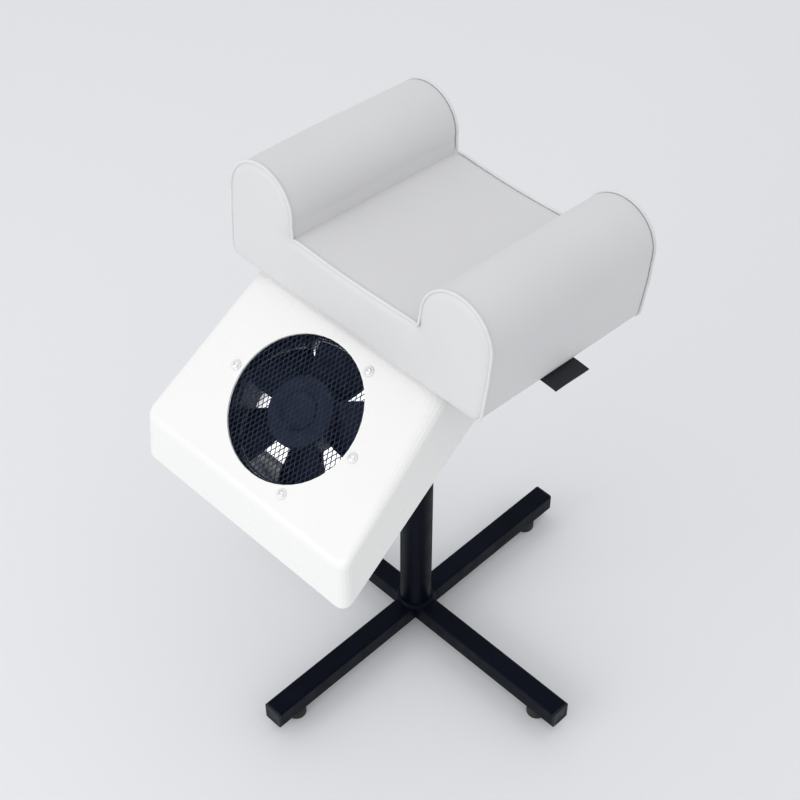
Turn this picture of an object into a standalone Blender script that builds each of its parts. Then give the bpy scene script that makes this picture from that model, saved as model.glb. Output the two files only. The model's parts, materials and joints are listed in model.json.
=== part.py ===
"""Foot-rest dust collector on a cross-base stand: Blender 4.5 script, metres, +Z up.

The column stands on a cross of square tubes. An inner tube slides in it and carries a yoke,
and the head tilts on the yoke's pin. The head is a U-shaped cushion on a board, with a
wedge-shaped fan housing under its front edge. The origin is on the floor, under the middle
of the whole object.
"""

import math

import bmesh
import bpy
from mathutils import Matrix, Vector

MM = 0.001
GAP = 0.3 * MM

# Stand
TUBE = 25 * MM
TUBE_WALL = 1.5 * MM
LEG_REACH = 236.5 * MM
LEG_TOP = 39.7 * MM
CAP_FLANGE = 3 * MM
FOOT_FROM_END = 36 * MM
FOOT_RADIUS = 12 * MM
COLUMN_RADIUS = 19 * MM
COLUMN_BORE = 17.2 * MM
COLUMN_TOP = 328 * MM
CLAMP_HEIGHT = 295 * MM
INNER_RADIUS = 15 * MM
INNER_BORE = 13.4 * MM
INNER_BOTTOM = 130 * MM
INNER_TOP = 459 * MM

# Head: the tilt pin's height, and the tilt of the rest position
PIVOT_HEIGHT = 507.7 * MM
PIN_RADIUS = 5 * MM
HEAD_TILT = math.radians(-5)
BOARD_UNDER_PIVOT = Vector((0, 4.6 * MM, 44.9 * MM))

# Cushion, from the middle of its underside
CUSHION_X = 12.5 * MM
CUSHION_DEPTH = 232 * MM
SEAT_HALF = 85 * MM
SEAT_TOP = 66.5 * MM
BOLSTER_RADIUS = 44 * MM
BOLSTER_X = 131 * MM
BOLSTER_Z = 84 * MM
HEEL_RADIUS = 14 * MM
HEEL_X = 158.5 * MM
BOARD_HALF = Vector((152 * MM, 103 * MM))
BOARD_THICK = 12 * MM
BRACKET_SCREWS = [(x * MM, y * MM) for x, y in ((-40, -20), (40, -20), (40, 16), (-40, 16))]
RAIL_X = 95 * MM
RAIL_SCREWS = [(side * RAIL_X, y * MM) for side in (-1, 1) for y in (-86, -74)]
LABEL_AT = Vector((174.2 * MM, -0.5 * MM, 0))
LABEL_HALF = Vector((24.3 * MM, 24.5 * MM))

# Fan housing: its face plane, from the opening's centre, x across, y up the slope, z outward
FACE_CENTRE = Vector((0, -177 * MM, -69.3 * MM))
FACE_SLOPE = math.radians(42)
WALL = 2.5 * MM
OPENING_RADIUS = 76.9 * MM
SCREW_CIRCLE = 86 * MM
SCREW_ANGLES = (180, 57, -3, -60)
FACE_FRONT, FACE_BACK = -96 * MM, 98.3 * MM
KNEE_FRONT, KNEE_BACK = (-113 * MM, -20 * MM), (131.2 * MM, -29.6 * MM)
RIM_FRONT, RIM_BACK = (-134 * MM, -45 * MM), (112 * MM, -76 * MM)
COVER_SLOPE = math.atan2(RIM_BACK[1] - RIM_FRONT[1], RIM_BACK[0] - RIM_FRONT[0])
COVER_DEPTH = RIM_FRONT[1] - RIM_FRONT[0] * math.tan(COVER_SLOPE)

# Fan, in the face's frame
FLANGE_RADIUS = 89.5 * MM
BARREL_RADIUS = 75.5 * MM
HUB_RADIUS = 38 * MM
BLADES = 5
BLADE_TURN = math.radians(18)
BLADE_ROOT_SPAN, BLADE_TIP_SPAN = math.radians(64), math.radians(51)
BLADE_SWEEP = math.radians(7)
BLADE_THICK = 1.8 * MM

# Filter compartment, in the rear cover's frame
BOX_HALF = Vector((95 * MM, 72 * MM))
BOX_DEPTH = 38 * MM

# The object's middle lies behind the column by half of what the housing reaches past the legs
HOUSING_REACH = 253.8 * MM
COLUMN_Y = (HOUSING_REACH - LEG_REACH) / 2

MATERIALS = {
    "black_powder_coat": ((0.012, 0.013, 0.017), 0.32, 0.0),
    "black_cap_plastic": ((0.028, 0.03, 0.036), 0.5, 0.0),
    "black_rubber": ((0.01, 0.01, 0.012), 0.8, 0.0),
    "black_fan_plastic": ((0.012, 0.014, 0.02), 0.42, 0.0),
    "black_wire": ((0.01, 0.011, 0.014), 0.4, 0.6),
    "white_abs": ((0.88, 0.88, 0.86), 0.3, 0.0),
    "white_leatherette": ((0.74, 0.74, 0.745), 0.5, 0.0),
    "filter_white": ((0.85, 0.86, 0.86), 0.9, 0.0),
    "plywood": ((0.5, 0.36, 0.22), 0.7, 0.0),
    "zinc_steel": ((0.62, 0.62, 0.6), 0.32, 0.9),
    "black_woven": ((0.012, 0.012, 0.015), 0.85, 0.0),
    "grey_nylon": ((0.25, 0.26, 0.28), 0.5, 0.0),
}


def clear_scene():
    for thing in list(bpy.data.objects):
        bpy.data.objects.remove(thing, do_unlink=True)


def make_materials():
    for name, (colour, roughness, metallic) in MATERIALS.items():
        material = bpy.data.materials.new(name)
        material.use_nodes = True
        shader = material.node_tree.nodes["Principled BSDF"]
        shader.inputs["Base Color"].default_value = (*colour, 1)
        shader.inputs["Roughness"].default_value = roughness
        shader.inputs["Metallic"].default_value = metallic


def add(thing, parent, at=(0, 0, 0), turn=(0, 0, 0)):
    bpy.context.scene.collection.objects.link(thing)
    thing.parent = parent
    thing.location = at
    thing.rotation_euler = turn
    return thing


def empty(name, parent=None, at=(0, 0, 0), turn=(0, 0, 0)):
    return add(bpy.data.objects.new(name, None), parent, at, turn)


def loft(name, loops, material, parent, at=(0, 0, 0), turn=(0, 0, 0), cyclic=False, caps=True):
    """Skin through loops of equal length; a loop of one point closes to a tip."""
    mesh = bpy.data.meshes.new(name)
    shape = bmesh.new()
    rows = [[shape.verts.new(point) for point in loop] for loop in loops]
    pairs = list(zip(rows, rows[1:]))
    if cyclic:
        pairs.append((rows[-1], rows[0]))
    for low, high in pairs:
        count = max(len(low), len(high))
        for i in range(count):
            j = (i + 1) % count
            corners = [low[i % len(low)], low[j % len(low)], high[j % len(high)], high[i % len(high)]]
            shape.faces.new(list(dict.fromkeys(corners)))
    if caps and not cyclic:
        for row in (rows[0], rows[-1]):
            if len(row) > 2:
                shape.faces.new(row)
    bmesh.ops.recalc_face_normals(shape, faces=shape.faces)
    shape.to_mesh(mesh)
    shape.free()
    mesh.shade_smooth()
    mesh.set_sharp_from_angle(angle=math.radians(32))
    mesh.materials.append(bpy.data.materials[material])
    return add(bpy.data.objects.new(name, mesh), parent, at, turn)


def circle(radius, height, segments=32, lobes=0, dip=0.0, phase=0.0):
    angles = [2 * math.pi * (i + phase) / segments for i in range(segments)]
    reach = [radius - dip * (1 - math.cos(lobes * a)) / 2 for a in angles]
    return [Vector((r * math.cos(a), r * math.sin(a), height)) for r, a in zip(reach, angles)]


def turned(name, profile, material, parent, segments=24, lobes=0, phase=0.0, **place):
    """Turned piece from (radius, height) or (radius, height, lobe dip) points, in order along its profile."""
    loops = []
    for radius, height, *dip in profile:
        if radius == 0:
            loops.append([Vector((0, 0, height))])
        else:
            loops.append(circle(radius, height, segments, lobes, dip[0] if dip else 0.0, phase))
    return loft(name, loops, material, parent, **place)


def ring(name, profile, material, parent, segments=24, **place):
    loops = [circle(radius, height, segments) for radius, height in profile]
    return loft(name, loops, material, parent, cyclic=True, **place)


def rounded(half_x, half_y, radius, steps=3, middle=(0, 0)):
    """Outline of a rounded rectangle, anticlockwise."""
    points = []
    for quarter in range(4):
        side_x = 1 if quarter in (0, 3) else -1
        side_y = 1 if quarter in (0, 1) else -1
        for step in range(steps + 1):
            angle = math.pi / 2 * (quarter + step / steps)
            x = side_x * (half_x - radius) + radius * math.cos(angle) + middle[0]
            y = side_y * (half_y - radius) + radius * math.sin(angle) + middle[1]
            points.append((x, y))
    return points


def prism(name, outline, low, high, material, parent, **place):
    loops = [[Vector((x, y, z)) for x, y in outline] for z in (low, high)]
    return loft(name, loops, material, parent, **place)


def pipe(name, outer, inner, low, high, material, parent, **place):
    loops = [[Vector((x, y, z)) for x, y in line] for line, z in
             ((outer, low), (outer, high), (inner, high), (inner, low))]
    return loft(name, loops, material, parent, cyclic=True, **place)


def block(name, low, high, material, parent, **place):
    outline = [(low[0], low[1]), (high[0], low[1]), (high[0], high[1]), (low[0], high[1])]
    return prism(name, outline, low[2], high[2], material, parent, **place)


def combine(piece, tool, operation):
    tool.hide_render = True
    tool.display_type = "WIRE"
    change = piece.modifiers.new(operation.lower(), "BOOLEAN")
    change.operation = operation
    change.object = tool
    change.solver = "EXACT"


def cut(piece, tool):
    combine(piece, tool, "DIFFERENCE")


def fuse(piece, tool):
    combine(piece, tool, "UNION")


def drill(piece, radius, low, high, parent, at=(0, 0, 0), turn=(0, 0, 0)):
    """Round hole. Its corners are turned off the axes, so that none lands on an edge of the piece."""
    tool = turned("drill", [(0, low), (radius, low), (radius, high), (0, high)], "zinc_steel", parent,
                  segments=10, phase=0.37, at=at, turn=turn)
    cut(piece, tool)


def soften(piece, width, segments=2, angle=40):
    bevel = piece.modifiers.new("soft_edges", "BEVEL")
    bevel.width = width
    bevel.segments = segments
    bevel.limit_method = "ANGLE"
    bevel.angle_limit = math.radians(angle)


def screw(name, parent, at, turn=(0, 0, 0), length=14 * MM, shank=2 * MM, head=5.5 * MM):
    """Pan head with a washer flange; local +Z points out of the head, whose seat is at z = 0."""
    rise, rim = 3.2 * MM, 0.8 * MM
    profile = [(0, -length), (shank, -length), (shank, 0), (head, 0), (head, rim),
               (head * 0.6, rise), (0, rise)]
    return turned(name, profile, "zinc_steel", parent, segments=12, at=at, turn=turn)


def star_knob(name, parent, at, turn, bore=None, stud=None):
    """Lobed clamp knob; its face is up local +Z, with a threaded stud or a blind bore below."""
    bottom = [(0, -stud), (4 * MM, -stud), (4 * MM, 0)] if stud else [(0, bore), (5.3 * MM, bore), (5.3 * MM, 0)]
    grip = [(9 * MM, 0), (9 * MM, 9 * MM), (19 * MM, 11 * MM, 3 * MM), (19 * MM, 23 * MM, 3 * MM),
            (15 * MM, 26 * MM, 2 * MM), (0, 26 * MM)]
    return turned(name, bottom + grip, "black_cap_plastic", parent, segments=24, lobes=6, at=at, turn=turn)


# ---------------------------------------------------------------- stand


def leg_tube(name, low, high, parent, turn):
    outer = rounded(TUBE / 2, TUBE / 2, 2.5 * MM)
    inner = rounded(TUBE / 2 - TUBE_WALL, TUBE / 2 - TUBE_WALL, 1 * MM)
    return pipe(name, outer, inner, low, high, "black_powder_coat", parent,
                at=(0, 0, LEG_TOP - TUBE / 2), turn=turn)


def end_cap(name, parent, turn):
    half = TUBE / 2
    plug = half - TUBE_WALL - GAP
    place = {"at": (0, 0, LEG_TOP - half), "turn": turn}
    low, high = LEG_REACH - CAP_FLANGE, LEG_REACH
    sizes = [(plug, 1 * MM, low - 12 * MM), (plug, 1 * MM, low + GAP), (half, 2.5 * MM, low + GAP),
             (half, 2.5 * MM, high - 0.8 * MM), (half - 0.8 * MM, 1.9 * MM, high),
             (half - 4 * MM, 2 * MM, high), (half - 4.4 * MM, 2 * MM, high - 0.6 * MM)]
    loops = [[Vector((x, y, z)) for x, y in rounded(size, size, corner)] for size, corner, z in sizes]
    return loft(name, loops, "black_cap_plastic", parent, **place)


def foot_pad(name, parent, at):
    under_tube = LEG_TOP - TUBE - GAP
    profile = [(0, 0), (FOOT_RADIUS - 0.8 * MM, 0), (FOOT_RADIUS, 0.8 * MM), (FOOT_RADIUS, 9 * MM),
               (FOOT_RADIUS - 3 * MM, under_tube), (3 * MM, under_tube), (3 * MM, under_tube + 8 * MM),
               (0, under_tube + 8 * MM)]
    return turned(name, profile, "black_rubber", parent, segments=20, at=at)


def build_stand(column):
    long_way = (0, math.pi / 2, 0)
    reach = LEG_REACH - CAP_FLANGE
    tubes = {
        "right": leg_tube("base_tube_long", -reach, reach, column, long_way),
        "back": leg_tube("base_tube_back", TUBE / 2 + GAP, reach, column, (-math.pi / 2, 0, 0)),
        "front": leg_tube("base_tube_front", TUBE / 2 + GAP, reach, column, (math.pi / 2, 0, 0)),
    }
    tubes["left"] = tubes["right"]
    sides = {
        "right": ((1, 0), (0, math.pi / 2, 0)),
        "back": ((0, 1), (-math.pi / 2, 0, 0)),
        "left": ((-1, 0), (0, -math.pi / 2, 0)),
        "front": ((0, -1), (math.pi / 2, 0, 0)),
    }
    for side, ((x, y), turn) in sides.items():
        end_cap(f"end_cap_{side}", column, turn)
        out = LEG_REACH - FOOT_FROM_END
        foot_pad(f"foot_pad_{side}", column, (x * out, y * out, 0))
        drill(tubes[side], 3.4 * MM, 10 * MM, 20 * MM, column, at=(x * out, y * out, 0))

    foot = LEG_TOP + GAP
    tube = ring("column_tube", [(COLUMN_RADIUS, foot), (COLUMN_RADIUS, COLUMN_TOP), (COLUMN_BORE, COLUMN_TOP),
                                (COLUMN_BORE, foot)], "black_powder_coat", column, segments=36)
    inside = COLUMN_RADIUS + GAP
    ring("column_weld", [(inside, foot), (inside + 4 * MM, foot), (inside + 3.2 * MM, foot + 1.8 * MM),
                         (inside + 1.4 * MM, foot + 3.6 * MM), (inside, foot + 4 * MM)],
         "black_powder_coat", column, segments=36)
    lip = COLUMN_TOP + GAP
    outside = COLUMN_BORE - GAP
    bore = INNER_RADIUS + GAP
    ring("column_bush", [(outside, lip - 20 * MM), (outside, lip), (COLUMN_RADIUS, lip),
                         (COLUMN_RADIUS, lip + 2.5 * MM), (bore, lip + 2.5 * MM), (bore, lip - 20 * MM)],
         "grey_nylon", column, segments=32)
    low, high = CLAMP_HEIGHT - 14 * MM, CLAMP_HEIGHT + 14 * MM
    outer = COLUMN_RADIUS + 8 * MM
    collar = ring("clamp_collar", [(inside, low), (outer - 1.5 * MM, low), (outer, low + 1.5 * MM),
                                   (outer, high - 1.5 * MM), (outer - 1.5 * MM, high), (inside, high)],
                  "black_cap_plastic", column, segments=32)
    to_left = {"at": (0, 0, CLAMP_HEIGHT), "turn": (0, -math.pi / 2, 0)}
    for piece in (tube, collar):
        drill(piece, 4.4 * MM, 8 * MM, 40 * MM, column, **to_left)
    knob_seat = outer + GAP
    star_knob("height_knob", column, (-knob_seat, 0, CLAMP_HEIGHT), (0, -math.pi / 2, 0),
              stud=knob_seat - INNER_RADIUS - GAP)


# ---------------------------------------------------------------- lift tube and yoke


def build_lift(column):
    ring("inner_tube", [(INNER_RADIUS, INNER_BOTTOM), (INNER_RADIUS, INNER_TOP), (INNER_BORE, INNER_TOP),
                        (INNER_BORE, INNER_BOTTOM)], "zinc_steel", column, segments=32)
    lip = INNER_TOP + GAP
    plug = INNER_BORE - GAP
    bore = 4.3 * MM
    ring("swivel_bush", [(plug, lip - 22 * MM), (plug, lip), (17 * MM, lip), (17 * MM, lip + 3 * MM),
                         (bore, lip + 3 * MM), (bore, lip - 22 * MM)], "grey_nylon", column)
    floor = lip + 3 * MM + GAP
    thick = 5 * MM
    yoke = block("yoke", (-17 * MM, -15 * MM, floor), (17 * MM, 15 * MM, floor + thick),
                 "black_powder_coat", column)
    ear_top = PIVOT_HEIGHT
    ear = [(-15 * MM, floor + 1 * MM), (15 * MM, floor + 1 * MM), (15 * MM, ear_top)]
    ear += [(15 * MM * math.cos(a), ear_top + 15 * MM * math.sin(a))
            for a in [math.pi * i / 12 for i in range(1, 12)]]
    ear.append((-15 * MM, ear_top))
    for side in (-1, 1):
        loops = [[Vector((side * x, y, z)) for y, z in ear] for x in (12 * MM, 17 * MM)]
        fuse(yoke, loft("ear", loops, "black_powder_coat", column))
    drill(yoke, PIN_RADIUS + GAP, -30 * MM, 30 * MM, column, at=(0, 0, PIVOT_HEIGHT), turn=(0, math.pi / 2, 0))
    drill(yoke, bore, floor - 2 * MM, floor + thick + 2 * MM, column)
    seat = floor + thick + GAP
    low = lip - 30 * MM
    turned("swivel_bolt", [(0, low), (4 * MM, low), (4 * MM, seat), (7 * MM, seat), (7 * MM, seat + 5 * MM),
                           (0, seat + 5 * MM)], "zinc_steel", column, segments=24)
    nut = lip - 22 * MM - GAP
    ring("swivel_nut", [(bore, nut - 6 * MM), (7 * MM, nut - 6 * MM), (7 * MM, nut), (bore, nut)],
         "zinc_steel", column, segments=24)


# ---------------------------------------------------------------- head: bracket and cushion


def build_bracket(head, cushion):
    """Plate under the board with two cheeks outside the yoke, and the clamp pin through them."""
    top = -GAP
    bracket = prism("tilt_bracket", rounded(52 * MM, 28 * MM, 6 * MM, middle=(0, -2 * MM)), top - 3 * MM, top,
                    "black_powder_coat", cushion)
    pin_z = -BOARD_UNDER_PIVOT.z
    pin_y = -BOARD_UNDER_PIVOT.y
    cheek = [(-22 * MM + pin_y, top - 1 * MM), (-14 * MM + pin_y, pin_z)]
    cheek += [(pin_y - 14 * MM * math.cos(a), pin_z - 14 * MM * math.sin(a))
              for a in [math.pi * i / 10 for i in range(1, 10)]]
    cheek += [(14 * MM + pin_y, pin_z), (22 * MM + pin_y, top - 1 * MM)]
    for side in (-1, 1):
        loops = [[Vector((side * x, y, z)) for y, z in cheek] for x in (17.5 * MM, 20.5 * MM)]
        fuse(bracket, loft("cheek", loops, "black_powder_coat", cushion))
    across = (0, math.pi / 2, 0)
    drill(bracket, PIN_RADIUS + GAP, -30 * MM, 30 * MM, head, turn=across)
    for number, (x, y) in enumerate(BRACKET_SCREWS, 1):
        at = Vector((x, y, top - 3 * MM))
        drill(bracket, 2.6 * MM, -6 * MM, 6 * MM, cushion, at=at)
        screw(f"bracket_screw_{number}", cushion, at - Vector((0, 0, GAP)), (math.pi, 0, 0), length=12 * MM)
    end = 20.5 * MM + GAP
    turned("tilt_pin", [(0, -34 * MM), (PIN_RADIUS, -34 * MM), (PIN_RADIUS, end), (9 * MM, end),
                        (9 * MM, end + 5 * MM), (7 * MM, end + 6 * MM), (0, end + 6 * MM)],
           "zinc_steel", head, segments=28, turn=across)
    star_knob("tilt_knob", head, (-end, 0, 0), (0, -math.pi / 2, 0), bore=14 * MM)


def bolster_outline():
    """Half of the cushion's end view: straight inner side, round top, tapered outer side, round heel."""
    points = [(SEAT_HALF, 0), (SEAT_HALF, SEAT_TOP), (BOLSTER_X - BOLSTER_RADIUS, BOLSTER_Z)]
    points += [(BOLSTER_X - BOLSTER_RADIUS * math.cos(a), BOLSTER_Z + BOLSTER_RADIUS * math.sin(a))
               for a in [math.pi * i / 20 for i in range(1, 20)]]
    points += [(BOLSTER_X + BOLSTER_RADIUS, BOLSTER_Z), (BOLSTER_X + BOLSTER_RADIUS, 52 * MM)]
    points += [(HEEL_X + HEEL_RADIUS * math.cos(a), HEEL_RADIUS * (1 - math.sin(a)))
               for a in [math.pi / 2 * i / 5 for i in range(6)]]
    return points


def build_cushion(cushion):
    left, right = CUSHION_X - BOARD_HALF.x, CUSHION_X + BOARD_HALF.x
    board = block("cushion_board", (left, -BOARD_HALF.y, 0), (right, BOARD_HALF.y, BOARD_THICK), "plywood", cushion)
    for x, y in BRACKET_SCREWS + RAIL_SCREWS:
        drill(board, 2.4 * MM, -5 * MM, 9.5 * MM, cushion, at=(x, y, 0))
    half = CUSHION_DEPTH / 2
    inner = SEAT_HALF - GAP
    soft = [block("cushion_seat", (CUSHION_X - inner, -half, 0), (CUSHION_X + inner, half, SEAT_TOP),
                  "white_leatherette", cushion)]
    for side, name in ((1, "right"), (-1, "left")):
        loops = [[Vector((CUSHION_X + side * x, y, z)) for x, z in bolster_outline()] for y in (-half, half)]
        bolster = loft(f"cushion_bolster_{name}", loops, "white_leatherette", cushion)
        soften(bolster, 3 * MM, angle=60)
        soft.append(bolster)
    for piece in soft:
        cut(piece, block("board_room", (left - GAP, -BOARD_HALF.y - GAP, -5 * MM),
                         (right + GAP, BOARD_HALF.y + GAP, BOARD_THICK + GAP), "plywood", cushion))
    prism("cushion_label", rounded(LABEL_HALF.x, LABEL_HALF.y, 1 * MM), -GAP - 1 * MM, -GAP, "black_woven",
          cushion, at=LABEL_AT)


# ---------------------------------------------------------------- fan housing


def half_width(up, out):
    """The side walls close in towards the back and draw in a little towards the face."""
    return 147.5 * MM - 0.08 * (up - FACE_FRONT) - 0.02 * out


def bend(corner, before, after, steps):
    """Round a corner between two tangent points, as a quarter of an ellipse."""
    points = []
    for step in range(steps + 1):
        angle = math.pi / 2 * step / steps
        points.append(corner + (before - corner) * (1 - math.sin(angle)) + (after - corner) * (1 - math.cos(angle)))
    return points


def wall_loop(front, back, inset=(0, 0, 0, 0), corner=(14 * MM, 18 * MM), steps=5):
    """Loop round the housing through (up, out) at its front and back edges. Inset is the front side, front,
    back side and back distance drawn in from the walls."""
    side_front, in_front, side_back, in_back = inset
    corners = []
    for (up, out), side in (((front[0] + in_front, front[1]), side_front),
                            ((back[0] - in_back, back[1]), side_back)):
        wide = half_width(up, out) - side
        corners.append((Vector((wide, up, out)), Vector((-wide, up, out))))
    (right_front, left_front), (right_back, left_back) = corners
    around = [right_front, right_back, left_back, left_front]
    loop = []
    for i, here in enumerate(around):
        reach = corner[0] if i in (0, 3) else corner[1]
        before = here + (around[i - 1] - here).normalized() * reach
        after = here + (around[(i + 1) % 4] - here).normalized() * reach
        loop += bend(here, before, after, steps)
    return loop


def build_shell(face, cushion, cover):
    front_soft, side_front, side_back, back_soft = 5 * MM, 6 * MM, 17 * MM, 10 * MM
    rim = wall_loop(RIM_FRONT, RIM_BACK)
    knee = wall_loop(KNEE_FRONT, KNEE_BACK)
    edge = wall_loop((FACE_FRONT, 0), (FACE_BACK, 0))
    flat = wall_loop((FACE_FRONT, 0), (FACE_BACK, 0), (side_front, front_soft, side_back, back_soft),
                     corner=(11 * MM, 14 * MM))
    loops = [rim, knee]
    arcs = []
    for corner, wall, land in zip(edge, knee, flat):
        reach = (land - corner).length
        arcs.append(bend(corner, corner + (wall - corner).normalized() * reach, land, 5))
    loops += [list(row) for row in zip(*arcs)]
    shell = loft("housing_shell", loops, "white_abs", face, caps=False)
    lid = bmesh.new()
    lid.from_mesh(shell.data)
    lid.verts.ensure_lookup_table()
    count = len(rim)
    lid.faces.new(lid.verts[-count:])
    bmesh.ops.recalc_face_normals(lid, faces=lid.faces)
    lid.to_mesh(shell.data)
    lid.free()
    shell.data.shade_smooth()
    shell.data.set_sharp_from_angle(angle=math.radians(32))
    skin = shell.modifiers.new("wall", "SOLIDIFY")
    skin.thickness = WALL
    skin.offset = -1
    skin.use_even_offset = True

    for x, y in POST_PLACES:
        top = (COVER_DEPTH * -1 - 1.25 * MM + y * math.sin(-COVER_SLOPE)) / math.cos(COVER_SLOPE)
        post = turned("post", [(0, 0.4 * MM), (5 * MM, 0.4 * MM), (5 * MM, top), (0, top)], "white_abs", cover,
                      segments=16, at=(x, y, 0))
        fuse(shell, post)
        drill(shell, 1.7 * MM, -5 * MM, 14 * MM, cover, at=(x, y, 0))
    drill_wide(shell, OPENING_RADIUS, face)
    for angle in SCREW_ANGLES:
        drill(shell, 2.4 * MM, -4 * MM, 4 * MM, face, at=on_screw_circle(angle))
    for x, y in RAIL_SCREWS:
        drill(shell, 2.6 * MM, -12 * MM, -1 * MM, cushion, at=(x, y, 0))
    return shell


POST_PLACES = [(-124 * MM, -88 * MM), (124 * MM, -88 * MM), (113 * MM, 88 * MM), (-113 * MM, 88 * MM)]


def drill_wide(piece, radius, parent):
    tool = turned("bore", [(0, -8 * MM), (radius, -8 * MM), (radius, 8 * MM), (0, 8 * MM)], "white_abs", parent,
                  segments=48)
    cut(piece, tool)


def on_screw_circle(degrees):
    angle = math.radians(degrees)
    return Vector((SCREW_CIRCLE * math.cos(angle), SCREW_CIRCLE * math.sin(angle), 0))


def build_grille(face):
    """Stamped disc of coarse diamonds; the fine mesh has the same outline and place."""
    low, high = -WALL - GAP - 1.2 * MM, -WALL - GAP
    grille = turned("grille", [(0, low), (FLANGE_RADIUS, low), (FLANGE_RADIUS, high), (0, high)], "black_wire", face,
                    segments=40)
    pitch_x, pitch_y = 26 * MM, 44 * MM
    diamonds = bmesh.new()
    for row in range(-5, 6):
        for column in range(-4, 5):
            middle = Vector(((column + row % 2 / 2) * pitch_x, row * pitch_y / 2))
            half_x, half_y = pitch_x / 2 - 1.6 * MM, pitch_y / 2 - 2.8 * MM
            if middle.length + half_y * 0.8 > OPENING_RADIUS - 1 * MM:
                continue
            rim = [(half_x, 0), (0, half_y), (-half_x, 0), (0, -half_y)]
            rows = [[diamonds.verts.new((middle.x + x, middle.y + y, z)) for x, y in rim]
                    for z in (low - 2 * MM, high + 2 * MM)]
            diamonds.faces.new(reversed(rows[0]))
            diamonds.faces.new(rows[1])
            for i in range(4):
                j = (i + 1) % 4
                diamonds.faces.new((rows[0][i], rows[0][j], rows[1][j], rows[1][i]))
    mesh = bpy.data.meshes.new("diamonds")
    diamonds.to_mesh(mesh)
    diamonds.free()
    cut(grille, add(bpy.data.objects.new("diamonds", mesh), face))
    for number, angle in enumerate(SCREW_ANGLES, 1):
        drill(grille, 2.4 * MM, low - 2 * MM, high + 2 * MM, face, at=on_screw_circle(angle))
        screw(f"grille_screw_{number}", face, on_screw_circle(angle) + Vector((0, 0, GAP)), length=11 * MM)


def build_fan(face):
    front = -WALL - 2 * GAP - 1.2 * MM
    back = -48 * MM
    frame = ring("fan_frame", [(80 * MM, front), (FLANGE_RADIUS, front), (FLANGE_RADIUS, front - 5 * MM),
                               (79 * MM, front - 5 * MM), (79 * MM, back), (BARREL_RADIUS, back),
                               (BARREL_RADIUS, front - 4 * MM), (BARREL_RADIUS + 2 * MM, front - 1 * MM)],
                 "black_fan_plastic", face, segments=40)
    can = 31 * MM
    arm = 3.5 * MM
    spider = []
    for quarter in range(4):
        turn = math.radians(45 + 90 * quarter)
        for x, y in ((can, -arm), (77 * MM, -arm), (77 * MM, arm), (can, arm)):
            spider.append((x * math.cos(turn) - y * math.sin(turn), x * math.sin(turn) + y * math.cos(turn)))
        for step in (1, 2, 3):
            a = turn + math.radians(22.5 * step)
            spider.append((can * math.cos(a), can * math.sin(a)))
    for angle in SCREW_ANGLES:
        drill(frame, 2.4 * MM, front - 8 * MM, front + 2 * MM, face, at=on_screw_circle(angle))
    fuse(frame, prism("spider", spider, back + 0.5 * MM, back + 4.5 * MM, "black_fan_plastic", face))

    motor = back + 4.5 * MM + GAP
    bore = 3.3 * MM
    ring("fan_motor", [(bore, motor), (29 * MM, motor), (29 * MM, -20 * MM), (27 * MM, -18 * MM),
                       (bore, -18 * MM)], "zinc_steel", face)
    turned("fan_shaft", [(0, motor + 1 * MM), (3 * MM, motor + 1 * MM), (3 * MM, -12.6 * MM), (0, -12.6 * MM)],
           "zinc_steel", face, segments=20)
    hub = turned("fan_rotor", [(0, -12.2 * MM), (bore, -12.2 * MM), (bore, -15 * MM), (30.5 * MM, -15 * MM),
                               (30.5 * MM, -40 * MM), (HUB_RADIUS, -40 * MM), (HUB_RADIUS, -13 * MM),
                               (HUB_RADIUS - 3 * MM, -10 * MM), (20 * MM, -10 * MM), (19 * MM, -8.8 * MM),
                               (0, -8.8 * MM)], "black_fan_plastic", face, segments=30)
    for blade in range(BLADES):
        fuse(hub, fan_blade(face, 2 * math.pi * blade / BLADES - BLADE_TURN))


def fan_blade(face, start):
    """Swept blade: it rises from the struts towards the grille with the angle round the hub."""
    stations = 4
    across = 3
    root, tip = HUB_RADIUS - 2 * MM, BARREL_RADIUS - 1.7 * MM
    deep, rise, camber = -36 * MM, 22 * MM, 3 * MM
    loops = []
    for i in range(stations):
        share = i / (stations - 1)
        radius = root + (tip - root) * share
        lead = start + BLADE_SWEEP * share
        span = BLADE_ROOT_SPAN + (BLADE_TIP_SPAN - BLADE_ROOT_SPAN) * share
        top = []
        for j in range(across + 1):
            chord = j / across
            angle = lead + span * chord
            height = deep + rise * chord + camber * math.sin(math.pi * chord)
            top.append(Vector((radius * math.cos(angle), radius * math.sin(angle), height)))
        under = [point - Vector((0, 0, BLADE_THICK)) for point in reversed(top)]
        loops.append(top + under)
    return loft("blade", loops, "black_fan_plastic", face)


# ---------------------------------------------------------------- rear cover and filter


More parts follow.
